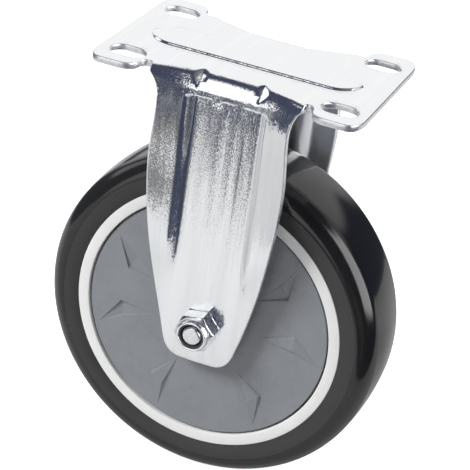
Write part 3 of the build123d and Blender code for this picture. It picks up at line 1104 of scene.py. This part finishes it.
@dataclass
class Wheel:
    """Tyre, white core and the two grey covers."""

    finishes: Finishes
    radius: float = 62.5
    half_width: float = 16.0
    crown: float = 0.45
    crown_from: float = 0.85
    shoulder_r: float = 6.6
    shoulder_step: float = 7.5
    bond_r: float = 49.8
    bond_gap: float = 0.02
    face: float = 15.7
    side_top_r: float = 55.4
    bond_lip: Point = (0.2, 0.25)
    side_lip: Point = (0.35, 0.03)
    key: Triple = (5.0, 2.0, 1.0)
    rim_r: float = 45.75
    ledge_r: float = 43.5
    groove: Point = (1.1, 4.0)
    web: float = 2.0
    hub_r: float = 14.0
    seat_r: float = 11.02
    hub_bore_r: float = 7.5
    seat_bottom: float = 8.0
    core_round: float = 0.3
    rib_count: int = 8
    rib_width: float = 2.4
    rib_gap: float = 0.6
    rib_root: float = 0.5
    cover_r: float = 45.0
    cover_face: float = 15.0
    cover_t: float = 2.0
    cover_bore_gap: float = 0.3
    cover_edge: Point = (0.7, 0.35)
    cover_steps: int = 144
    spikes: tuple[tuple[int, int], ...] = (
        (1, 1), (-1, -1), (1, 1), (1, -1), (-1, -1), (-1, 1), (1, 1),
    )
    spike_first: float = -6.5
    spike_corners: tuple[Point, ...] = ((0.955, 0.0), (0.74, 14.0), (0.46, 6.0), (0.74, 3.0))
    spike_edges: tuple[tuple[int, int], ...] = (
        (0, 1), (1, 2), (2, 3), (3, 0), (0, 4), (0, 5), (2, 4), (2, 5), (4, 5), (1, 4), (3, 5),
    )
    spike_h: float = 0.95
    spike_crest: float = 0.12

    def tyre_profile(self) -> list[Point]:
        """Draws the tyre's section, from the front bond round to the key.

        Returns:
            Its radius and height pairs.
        """
        tread = self.radius - self.crown
        flat = self.half_width - self.shoulder_r
        reach, fall = self.bond_lip
        inset, sink = self.side_lip
        out = [
            (self.bond_r + self.bond_gap, self.face - fall), (self.bond_r + reach, self.face),
            (self.side_top_r - inset, self.half_width - sink), (self.side_top_r, self.half_width),
        ]
        for angle in np.radians(np.arange(0, 90.1, self.shoulder_step)):
            across, up = self.shoulder_r * math.sin(angle), self.shoulder_r * math.cos(angle)
            out.append((tread - self.shoulder_r + across, flat + up))
        for share in np.linspace(self.crown_from, 0, 6):
            out.append((tread + self.crown * (1 - share * share), flat * share))
        half, depth, slope = self.key
        inner = [(self.bond_r + self.bond_gap, half + slope), (self.bond_r + depth, half)]
        mirrored = [(r, -h) for r, h in reversed(out[:-1])]
        return out + mirrored + [(r, -h) for r, h in inner] + inner[::-1]

    def build_tyre(self) -> None:
        """Makes the tyre: a dull side and a glossy shoulder and tread."""
        mesh = PieceMesh("tyre_moulding")
        profile = self.tyre_profile()
        ends = zip(profile, profile[1:] + profile[:1])
        slots = [int(max(a[0], b[0]) > self.side_top_r + self.bond_gap / 2) for a, b in ends]
        mesh.turned(profile, divisions=240, slots=slots)
        obj = mesh.finish(Body.WHEEL, "tyre", "tyre_black", 60.0)
        self.finishes.dress(obj, self.finishes.tyre_side, self.finishes.tyre_tread)

    def core_profile(self) -> list[Point]:
        """Draws the core's section.

        Returns:
            Its radius and height pairs.
        """
        bottom = self.cover_face - self.cover_t
        groove_r, groove_h = self.rim_r - self.groove[0], bottom - self.groove[1]
        key_half, key_h, slope = self.key
        half = [
            (self.hub_bore_r, self.seat_bottom), (self.seat_r, self.seat_bottom),
            (self.seat_r, self.half_width), (self.hub_r, self.half_width),
            (self.hub_r, self.web), (self.ledge_r, self.web), (self.ledge_r, bottom),
            (groove_r, bottom), (groove_r, groove_h), (self.rim_r, groove_h),
            (self.rim_r, self.face), (self.bond_r, self.face),
            (self.bond_r, key_half + slope), (self.bond_r + key_h, key_half),
        ]
        return rounded(half + [(r, -h) for r, h in reversed(half)], self.core_round, 3, True)

    def build_core(self) -> None:
        """Makes the white core with its ribs."""
        mesh = PieceMesh("core_moulding")
        mesh.turned(self.core_profile(), divisions=200)
        half, top = self.rib_width / 2, self.cover_face - self.cover_t - self.rib_gap
        corners = [(-half, -top), (half, -top), (half, top), (-half, top)]
        section = rounded(corners, self.core_round, 3, True)
        n = len(section)
        ends = [tuple(range(n)), tuple(range(n, 2 * n))]
        reaches = (self.hub_r - self.rib_root, self.ledge_r + self.rib_root)
        for k in range(self.rib_count):
            turn = Matrix.Rotation(2 * math.pi * k / self.rib_count, 3, "Z")
            rows = [tuple(turn @ Vector((reach, *p))) for reach in reaches for p in section]
            mesh.add(on_axle(np.array(rows)), strips(2, n) + ends)
        obj = mesh.finish(Body.WHEEL, "wheel_core", "core_white", 45.0)
        self.finishes.dress(obj, self.finishes.core)

    def spike(self, number: int) -> tuple[Array, float]:
        """Works out one spike of a cover.

        Args:
            number: Its place round the cover.

        Returns:
            Its tip, wide shoulder, root and narrow shoulder and the two ends of its crest, as
            rows of x and y, and the crest's height over the cover's face.
        """
        lean, rise = self.spikes[number]
        shares, turns = np.array(self.spike_corners).T
        start = self.spike_first + 360 / len(self.spikes) * number
        angles, reach = np.radians(start + lean * turns), self.cover_r * shares
        outline = np.column_stack([reach * np.cos(angles), reach * np.sin(angles)])
        across = (outline[3] - outline[1]) * self.spike_crest
        return np.vstack([outline, outline[1] + across, outline[3] - across]), rise * self.spike_h

    def build_cover(self, side: Side) -> None:
        """Makes one cover: a thin disc with a ring of shallow, flat-sided spikes.

        Args:
            side: The side that it closes.
        """
        mesh = PieceMesh(f"faceted_cover_{side.word}")
        n = self.cover_steps
        bore, edge = self.hub_r + self.cover_bore_gap, self.cover_r - self.cover_edge[0]
        bottom = self.cover_face - self.cover_t
        rim = [
            (bore, self.cover_face), (bore, bottom), (self.cover_r, bottom),
            (self.cover_r, self.cover_face), (edge, self.cover_face),
        ]
        mesh.turned(rounded(rim, self.cover_edge[1], 4), side, n, closed=False)
        points = [rings([(edge, 0.0), (bore, 0.0)], round_steps(n))]
        edges = ring_edges(0, n) + ring_edges(n, n)
        for k in range(len(self.spikes)):
            corners, crest = self.spike(k)
            first = 2 * n + len(corners) * k
            points.append(np.column_stack([corners, [0.0] * 4 + [crest] * 2]))
            edges += [(first + a, first + b) for a, b in self.spike_edges]
        shape = np.vstack(points)
        flat = [Vector(p) for p in shape[:, :2]]
        verts, _, faces, origins, *_ = delaunay_2d_cdt(flat, edges, [], 0, 1e-4)
        up = [shape[origin[0], 2] if origin else 0.0 for origin in origins]
        place = np.array([(*v, self.cover_face + height) for v, height in zip(verts, up)])
        faces = [f for f in faces if np.hypot(*place[list(f), :2].mean(axis=0)) > bore]
        mesh.add(on_axle(place, side), faces)
        obj = mesh.finish(Body.WHEEL, f"wheel_cover_{side.word}", "cover_grey", 0.5)
        self.finishes.dress(obj, self.finishes.cover)

    def build(self) -> None:
        """Makes every piece of the wheel."""
        self.build_tyre()
        self.build_core()
        for side in Side:
            self.build_cover(side)


@dataclass
class Axle:
    """Bolt, lock nut and its nylon ring."""

    finishes: Finishes
    leg_out: float = 21.2
    across_flats: float = 13.0
    hex_steps: int = 144
    hex_sharpness: float = 60.0
    chamfer: Triple = (0.15, 0.12, 0.9)
    seat_round: float = 0.05
    point: float = 0.01
    nut_height: float = 8.0
    nut_hex: float = 5.6
    collar_r: float = 6.1
    collar_root: float = 0.5
    collar_fall: Triple = (1.3, 0.35, 0.45)
    collar_top_r: float = 5.3
    collar_round: float = 0.35
    bore_r: float = 4.0
    lip_r: float = 4.7
    lip: float = 0.6
    lip_fall: float = 0.1
    insert_r: float = 5.2
    insert_h: float = 2.2
    insert_gap: float = 0.02
    insert_round: float = 0.3
    nut_turn: float = 10.0
    head_height: float = 5.3
    head_sink: float = 0.5
    shank_r: float = 3.95
    bolt_steps: int = 96
    thread_depth: float = 0.65
    thread_pitch: float = 1.25
    thread_crest: float = 1.25
    thread_length: float = 14.0
    thread_step: float = 0.125
    thread_lead: float = 1.0
    thread_rise: Point = (0.5, 1.5)
    thread_end: Triple = (0.45, 1.5, 0.9)
    tip_short: float = 0.2
    tip: tuple[Point, ...] = ((3.25, 0.3), (2.95, 0.06), (2.75, 0.0), (1.2, 0.02), (0.01, 0.0))

    def hexagon(
        self, mesh: PieceMesh, span: Point, side: Side, turn: float, inner_r: float, both: bool
    ) -> None:
        """Adds a hexagon whose corners are turned off.

        Args:
            mesh: The piece that it belongs to.
            span: Heights of its seat and its outer end.
            side: The side that it stands on.
            turn: Its turn about the axle, in degrees.
            inner_r: Radius of the hole through it.
            both: Whether the seat's corners are turned off as well.
        """
        low, high = span
        angles = round_steps(self.hex_steps)
        middles = np.radians(30 + 60 * np.arange(6))
        facets = np.clip(np.cos(angles - middles[:, None]), 1e-3, None) ** self.hex_sharpness
        reach = self.across_flats / 2 / facets.sum(axis=0) ** (1 / self.hex_sharpness)
        inset, soft, share = self.chamfer
        flat_r = self.across_flats / 2 - inset
        fall = np.clip(reach - flat_r, 0, None) * math.tan(math.radians(30))
        rows = [(inner_r, low), (flat_r, low)]
        if both:
            rows += [(reach - soft, low + fall * share), (reach, low + fall + soft)]
        else:
            rows.append((reach, low + self.seat_round))
        rows += [(reach, high - fall - soft), (reach - soft, high - fall * share)]
        rows += [(flat_r, high), (inner_r, high)]
        points = rings(rows, angles + math.radians(turn))
        mesh.add(on_axle(points, side), strips(len(rows), self.hex_steps))

    def build_nut(self) -> None:
        """Makes the lock nut with its round collar and turned-in lip, and the ring in it."""
        mesh = PieceMesh("lock_nut")
        seat, top = self.leg_out, self.leg_out + self.nut_height
        shoulder = seat + self.nut_hex
        self.hexagon(mesh, (seat, shoulder), Side.FRONT, self.nut_turn, self.bore_r, True)
        root, lip = shoulder - self.collar_root, top - self.lip
        groove = lip - self.insert_h
        fall, slope, inset = self.collar_fall
        collar = [
            (self.bore_r, root), (self.collar_r, root), (self.collar_r, top - fall),
            (self.collar_r - inset, top - slope), (self.collar_top_r, top),
            (self.lip_r, top - self.lip_fall), (self.lip_r, lip), (self.insert_r, lip),
            (self.insert_r, groove), (self.bore_r, groove),
        ]
        mesh.turned(rounded(collar, self.collar_round, 5, True), divisions=144)
        obj = mesh.finish(Body.FORK, "axle_nut", "zinc_nut", 30.0)
        self.finishes.dress(obj, self.finishes.nut)
        ring = PieceMesh("nylon_ring")
        edge = self.insert_r - self.insert_gap
        section = [(self.bore_r, groove), (edge, groove), (edge, lip), (self.bore_r, lip)]
        ring.turned(rounded(section, self.insert_round, 4, True), divisions=96)
        obj = ring.finish(Body.FORK, "nut_insert", "nylon_ring", 45.0)
        self.finishes.dress(obj, self.finishes.insert)

    def build_bolt(self) -> None:
        """Makes the bolt: head on the back leg, plain shank, rolled thread at its end."""
        mesh = PieceMesh("axle_bolt_threaded")
        head = (self.leg_out, self.leg_out + self.head_height)
        self.hexagon(mesh, head, Side.BACK, 0.0, self.point, False)
        tip = self.leg_out + self.nut_height - self.tip_short
        start = tip - self.thread_length
        angles = round_steps(self.bolt_steps)
        turned_down, runout, reach = self.thread_end
        early, rise = self.thread_rise
        rows = []
        thread = np.arange(start, tip - self.tip[0][1] * 2, self.thread_step)
        for height in (-self.leg_out - self.head_sink, start - self.thread_lead, *thread):
            phase = (height / self.thread_pitch - angles / (2 * math.pi)) % 1
            root = 1 - np.clip(np.abs(phase - 0.5) * 2 * self.thread_crest, 0, 1)
            depth = self.thread_depth * root * smooth((height - start + early) / rise)
            end = turned_down * smooth((height - (tip - runout)) / reach)
            rows.append((self.shank_r - np.maximum(depth, end), height))
        rows += [(radius, tip - short) for radius, short in self.tip]
        mesh.add(on_axle(rings(rows, angles)), strips(len(rows), self.bolt_steps))
        obj = mesh.finish(Body.FORK, "axle_bolt", "zinc_bolt", 35.0)
        self.finishes.dress(obj, self.finishes.bolt)

    def build(self) -> None:
        """Makes every piece of the axle that shows."""
        self.build_nut()
        self.build_bolt()


@dataclass
class Bearings:
    """The CAD's bearing and bush nodes, which keep their shapes and get finishes."""

    finishes: Finishes
    sharp: float = 35.0

    def finish_of(self, node: str) -> Finish:
        """Chooses the finish of a bearing or bush.

        Args:
            node: The CAD node's name.

        Returns:
            The finish.
        """
        words = {
            "ball": self.finishes.ball, "cage": self.finishes.cage,
            "shield": self.finishes.shield, "_ring": self.finishes.ring,
        }
        return next((words[word] for word in words if word in node), self.finishes.bush)

    def dress(self, nodes: dict[str, bpy.types.Object]) -> None:
        """Gives every bearing and bush node its finish.

        Args:
            nodes: The CAD nodes by name.
        """
        for name, obj in nodes.items():
            if name.startswith(("bearing_", "side_spacer")):
                self.finishes.dress(obj, self.finish_of(name))
                obj.data.shade_smooth()
                obj.data.set_sharp_from_angle(angle=math.radians(self.sharp))


@dataclass(frozen=True)
class Patch:
    """A soft-edged window of colour in the surroundings.

    Its angles round the castor start at the front (-Y), with the right (+X) at 90, and its
    heights at the horizon, all in degrees. Soft is half the width of its edge, as a sine.
    """

    around: Point
    height: Point
    soft: float
    colour: Colour


@dataclass(frozen=True)
class Floor:
    """One part of the pale table: its name, how much light it throws back, and its outline."""

    name: str
    shade: float
    corners: tuple[Point, ...]


@dataclass(frozen=True)
class Lamp:
    """A soft rectangular lamp: its name, place and size in metres, and power in watts."""

    name: str
    place: Triple
    size: Point
    power: float


class Surroundings(Nodes):
    """What the world shows to reflections: a dark room with a white backdrop and soft boxes."""

    def __init__(self, tree: bpy.types.NodeTree, room: Colour) -> None:
        """Starts with the room's colour in every direction.

        Args:
            tree: The world's node tree.
            room: The room's colour.
        """
        super().__init__(tree)
        self.direction = self.add("TexCoord", {}).outputs["Generated"]
        self.colour: Socket | tuple[float, ...] = opaque(room)

    def beyond(self, normal: Vector, edge: float, soft: float) -> Socket:
        """Gives 0 to 1 as the direction passes a plane.

        Args:
            normal: The plane's normal.
            edge: Where it passes, as a sine.
            soft: Half the width of the change.

        Returns:
            The share.
        """
        inputs = {0: self.direction, 1: normal}
        dot = self.add("VectorMath", inputs, operation="DOT_PRODUCT").outputs["Value"]
        return self.ranged(dot, (edge - soft, edge + soft))

    def lay(self, share: Socket, colour: Colour) -> None:
        """Lays a colour over what is there so far."""
        inputs = {0: share, 6: self.colour, 7: opaque(colour)}
        self.colour = self.add("Mix", inputs, data_type="RGBA").outputs[2]

    def paint(self, patch: Patch) -> None:
        """Lays a patch over what is there so far.

        Args:
            patch: The patch.
        """
        planes = []
        for sign, angle, height in zip((1, -1), patch.around, patch.height):
            turn = math.radians(angle)
            planes.append((Vector((math.cos(turn), math.sin(turn), 0.0)) * sign, 0.0))
            planes.append((Vector((0.0, 0.0, sign)), sign * math.sin(math.radians(height))))
        first, *others = (self.beyond(*plane, patch.soft) for plane in planes)
        for share in others:
            first = self.maths("MULTIPLY", first, share)
        self.lay(first, patch.colour)

    def finish(self, fill: float, tint: Colour) -> None:
        """Shows white to the camera, this picture to reflections and an even fill to the rest.

        Args:
            fill: The fill light's strength.
            tint: Its colour.
        """
        path = self.add("LightPath", {}).outputs
        seen = self.maths("MAXIMUM", path["Is Camera Ray"], path["Is Glossy Ray"])
        self.lay(path["Is Camera Ray"], WHITE)
        shown = self.add("Background", {"Color": self.colour}).outputs[0]
        even = self.add("Background", {"Color": opaque(tint), "Strength": fill}).outputs[0]
        mix = self.add("MixShader", {"Fac": seen, 1: even, 2: shown}).outputs[0]
        self.add("OutputWorld", {"Surface": mix})


@dataclass
class Studio:
    """Pale floor, soft lamps and the camera at the photograph's viewing angle."""

    eye: Triple = (0.18032, -0.53866, 0.22693)
    right: Triple = (0.91829, 0.37501, 0.12700)
    up: Triple = (-0.27956, 0.38699, 0.87869)
    back: Triple = (0.28037, -0.84239, 0.46020)
    lens: float = 139.07
    sensor: float = 36.0
    clip_end: float = 20.0
    lamp_target: Triple = (0.0, 0.0, -0.07)
    room: Colour = (0.055, 0.063, 0.105)
    fill: float = 0.35
    fill_tint: Colour = (0.97, 0.98, 1.0)
    floor_glow: float = 0.95
    patches: tuple[Patch, ...] = (
        Patch((164.0, 243.0), (9.0, 90.0), 0.06, (1.02, 1.02, 1.02)),
        Patch((146.0, 168.0), (21.0, 90.0), 0.05, WHITE),
        Patch((98.0, 150.0), (26.0, 62.0), 0.08, (0.75, 0.75, 0.77)),
        Patch((45.0, 130.0), (46.0, 76.0), 0.06, (0.16, 0.165, 0.18)),
        Patch((172.0, 232.0), (-4.0, 20.0), 0.04, WHITE),
        Patch((15.0, 36.0), (-27.0, -8.0), 0.05, (0.24, 0.245, 0.27)),
        Patch((-104.0, -78.0), (12.0, 42.0), 0.04, (1.4, 1.4, 1.4)),
        Patch((-39.0, 2.0), (-17.0, 30.0), 0.03, (1.35, 1.35, 1.35)),
        Patch((-39.0, 1.0), (-8.0, 57.0), 0.07, (1.35, 1.35, 1.35)),
        Patch((58.0, 108.0), (-4.0, 41.0), 0.07, (5.0, 5.0, 5.0)),
    )
    floors: tuple[Floor, ...] = (
        Floor("table", 0.70, (
            (-0.38, -0.050), (-0.095, -0.050), (-0.095, -0.306), (-0.088, -0.280),
            (-0.050, -0.238), (0.050, -0.180), (0.060, -0.130), (0.6055, 0.4095),
            (-0.07, 1.085), (-0.38, 0.775),
        )),
        Floor("wing", 0.52, (
            (-0.38, -0.306), (-0.095, -0.306), (-0.095, -0.050), (-0.38, -0.050),
        )),
        Floor("apron", 0.20, (
            (-0.095, -0.306), (0.050, -0.306), (0.050, -0.180), (-0.050, -0.238),
            (-0.088, -0.280),
        )),
        Floor("corner", 0.07, (
            (0.050, -0.260), (0.130, -0.260), (0.130, -0.160), (0.060, -0.130),
            (0.050, -0.180),
        )),
    )
    lamps: tuple[Lamp, ...] = (
        Lamp("key", (-1.0, -0.85, 0.85), (0.5, 0.5), 26.0),
        Lamp("fill", (1.1, -0.7, 0.5), (0.6, 0.8), 2.0),
        Lamp("top", (0.1, 0.5, 1.3), (1.0, 0.8), 7.0),
    )

    def build_camera(self) -> None:
        """Places the camera."""
        camera = bpy.data.objects.new("camera", bpy.data.cameras.new("camera"))
        camera.data.lens = self.lens
        camera.data.sensor_width = self.sensor
        camera.data.clip_end = self.clip_end
        axes = Matrix((self.right, self.up, self.back)).transposed()
        camera.matrix_world = Matrix.Translation(self.eye) @ axes.to_4x4()
        bpy.context.scene.collection.objects.link(camera)
        bpy.context.scene.camera = camera

    def build_world(self) -> None:
        """Makes the surroundings."""
        world = bpy.data.worlds.new("studio")
        bpy.context.scene.world = world
        world.use_nodes = True
        room = Surroundings(world.node_tree, self.room)
        for patch in self.patches:
            room.paint(patch)
        room.finish(self.fill, self.fill_tint)

    def build_floor(self, part: Floor) -> None:
        """Makes a part of the table: white to the camera, to the castor as bright as its shade.

        Args:
            part: The part.
        """
        mesh = bpy.data.meshes.new(part.name)
        corners = [(x, y, FLOOR_Z * MM) for x, y in part.corners]
        mesh.from_pydata(corners, [], [tuple(range(len(corners)))])
        floor = bpy.data.objects.new(part.name, mesh)
        bpy.context.scene.collection.objects.link(floor)
        material = bpy.data.materials.new(part.name)
        material.use_nodes = True
        nodes = Nodes(material.node_tree)
        camera = nodes.add("LightPath", {}).outputs["Is Camera Ray"]
        glow = nodes.maths("MULTIPLY", camera, self.floor_glow)
        shaders = (
            nodes.add("BsdfDiffuse", {"Color": opaque((part.shade,) * 3)}).outputs[0],
            nodes.add("Emission", {"Strength": glow}).outputs[0],
        )
        both = nodes.add("AddShader", dict(enumerate(shaders))).outputs[0]
        nodes.add("OutputMaterial", {"Surface": both})
        mesh.materials.append(material)

    def build_lamp(self, lamp: Lamp) -> None:
        """Adds a lamp that looks at the castor and isn't mirrored in it.

        Args:
            lamp: The lamp.
        """
        light = bpy.data.lights.new(lamp.name, "AREA")
        light.shape = "RECTANGLE"
        light.size, light.size_y = lamp.size
        light.energy = lamp.power
        obj = bpy.data.objects.new(lamp.name, light)
        obj.location = lamp.place
        obj.rotation_mode = "QUATERNION"
        view = Vector(self.lamp_target) - Vector(lamp.place)
        obj.rotation_quaternion = view.to_track_quat("-Z", "Y")
        obj.visible_glossy = False
        bpy.context.scene.collection.objects.link(obj)

    def build(self) -> None:
        """Sets up the studio."""
        bpy.context.scene.view_settings.view_transform = "Standard"
        self.build_world()
        for part in self.floors:
            self.build_floor(part)
        for lamp in self.lamps:
            self.build_lamp(lamp)
        self.build_camera()


def main() -> None:
    """Builds the castor's looks in order."""
    logging.basicConfig(level=logging.INFO, format="%(name)s: %(message)s")
    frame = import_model()
    finishes = Finishes()
    Studio().build()
    Fork(finishes).build()
    Wheel(finishes).build()
    Axle(finishes).build()
    Bearings(finishes).dress(frame["nodes"])


if __name__ == "__main__":
    main()
